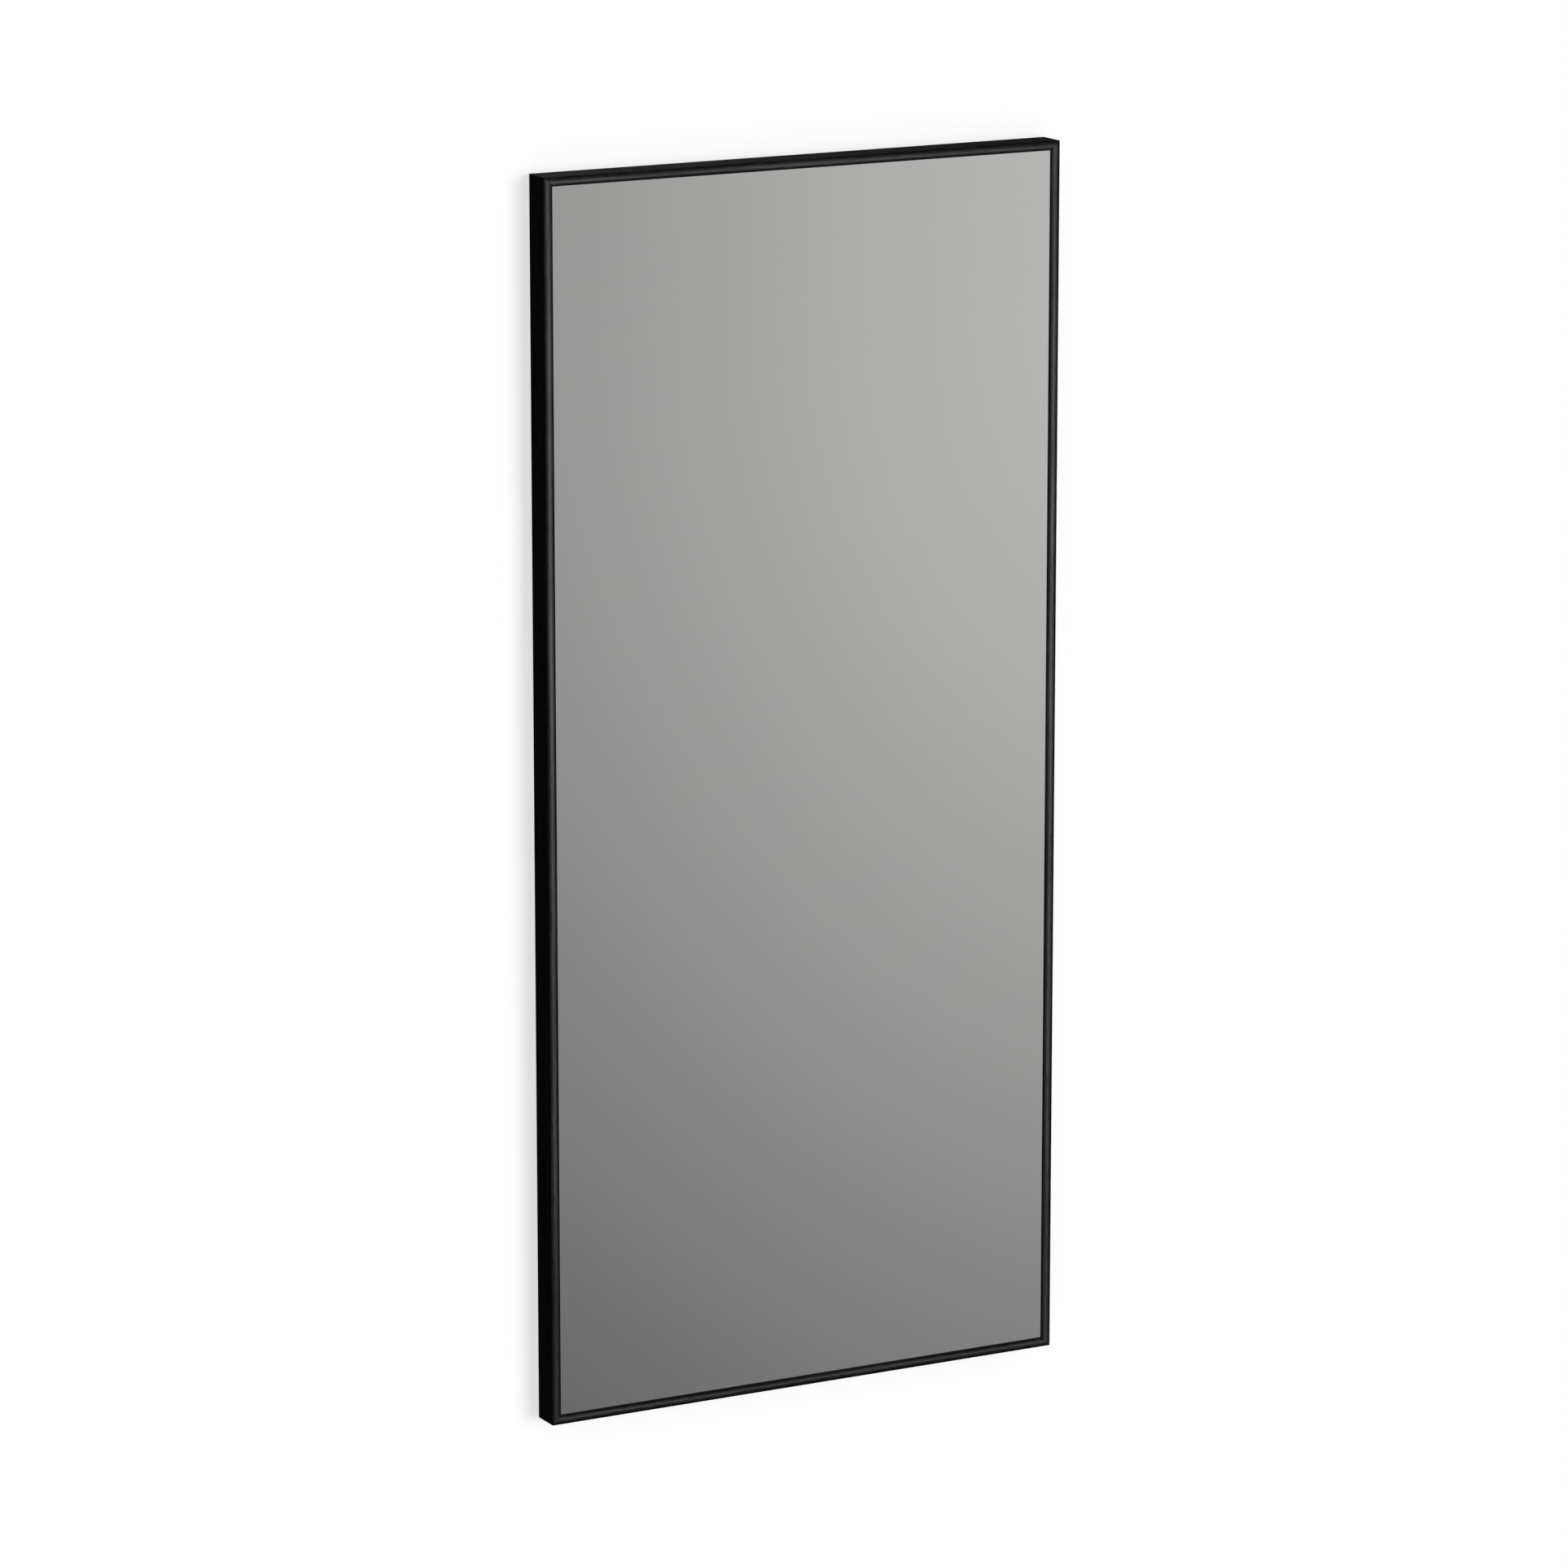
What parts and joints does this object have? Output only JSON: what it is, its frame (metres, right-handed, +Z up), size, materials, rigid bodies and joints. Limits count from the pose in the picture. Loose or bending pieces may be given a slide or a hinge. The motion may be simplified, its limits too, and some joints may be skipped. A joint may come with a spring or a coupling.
{
  "type": "wall mirror",
  "caption": "Tall rectangular wall mirror in a slim black metal frame with a rounded bead, mitred corners and folding rings behind for hanging upright or lengthways.",
  "frame": {"origin": "middle of the mirror on the plane of the wall that its bumpers touch", "axes": "+Z up, -Y out of the glass towards the viewer, +X to the right as seen from the front"},
  "size_m": [0.55, 0.033, 1.2],
  "materials": {
    "black_anodised": "brushed lengthwise and anodised black, satin",
    "clear_glass": "polished float glass",
    "silvering": "silver film with grey backing paint",
    "film": "woven-backed safety film",
    "foam": "closed-cell foam sheet",
    "hardboard": "pressed hardboard, smooth side out",
    "foam_tape": "black glazing tape",
    "spring_steel": "blued spring steel",
    "zinc_plate": "zinc plated steel, stamped",
    "black_screw": "blackened steel",
    "bright_wire": "bright zinc plated steel",
    "rubber": "moulded black rubber"
  },
  "bodies": {
    "mirror_body": {"stile_left": "black_anodised", "stile_right": "black_anodised", "rail_top": "black_anodised", "rail_bottom": "black_anodised", "mirror_glass": "clear_glass", "silver_coating": "silvering", "safety_film": "film", "foam_sheet": "foam", "backing_board": "hardboard", "glazing_tape": "foam_tape", "spring_clips": "spring_steel", "corner_key_bottom_left": "zinc_plate", "corner_key_bottom_right": "zinc_plate", "corner_key_top_right": "zinc_plate", "corner_key_top_left": "zinc_plate", "corner_shim_bottom_left": "zinc_plate", "corner_shim_bottom_right": "zinc_plate", "corner_shim_top_right": "zinc_plate", "corner_shim_top_left": "zinc_plate", "corner_screws": "black_screw", "hanger_strap_bottom": "zinc_plate", "hanger_strap_right": "zinc_plate", "hanger_strap_top": "zinc_plate", "hanger_strap_left": "zinc_plate", "nut_plate_bottom": "zinc_plate", "nut_plate_right": "zinc_plate", "nut_plate_top": "zinc_plate", "nut_plate_left": "zinc_plate", "hanger_screws": "bright_wire", "wall_bumpers": "rubber"},
    "ring_bottom": {"hanger_ring_bottom": "bright_wire"},
    "ring_right": {"hanger_ring_right": "bright_wire"},
    "ring_top": {"hanger_ring_top": "bright_wire"},
    "ring_left": {"hanger_ring_left": "bright_wire"}
  },
  "joints": [
    {"name": "ring_left_swing", "type": "hinge", "parent": "mirror_body", "child": "ring_left", "pos_m": [-0.2649, -0.005, 0.45], "axis": [1, 0, 0], "range_deg": [-1, 187]},
    {"name": "ring_right_swing", "type": "hinge", "parent": "mirror_body", "child": "ring_right", "pos_m": [0.2649, -0.005, 0.45], "axis": [1, 0, 0], "range_deg": [-1, 187]},
    {"name": "ring_bottom_swing", "type": "hinge", "parent": "mirror_body", "child": "ring_bottom", "pos_m": [-0.165, -0.005, -0.5899], "axis": [0, 0, 1], "range_deg": [-1, 187]},
    {"name": "ring_top_swing", "type": "hinge", "parent": "mirror_body", "child": "ring_top", "pos_m": [-0.165, -0.005, 0.5899], "axis": [0, 0, 1], "range_deg": [-1, 187]}
  ]
}
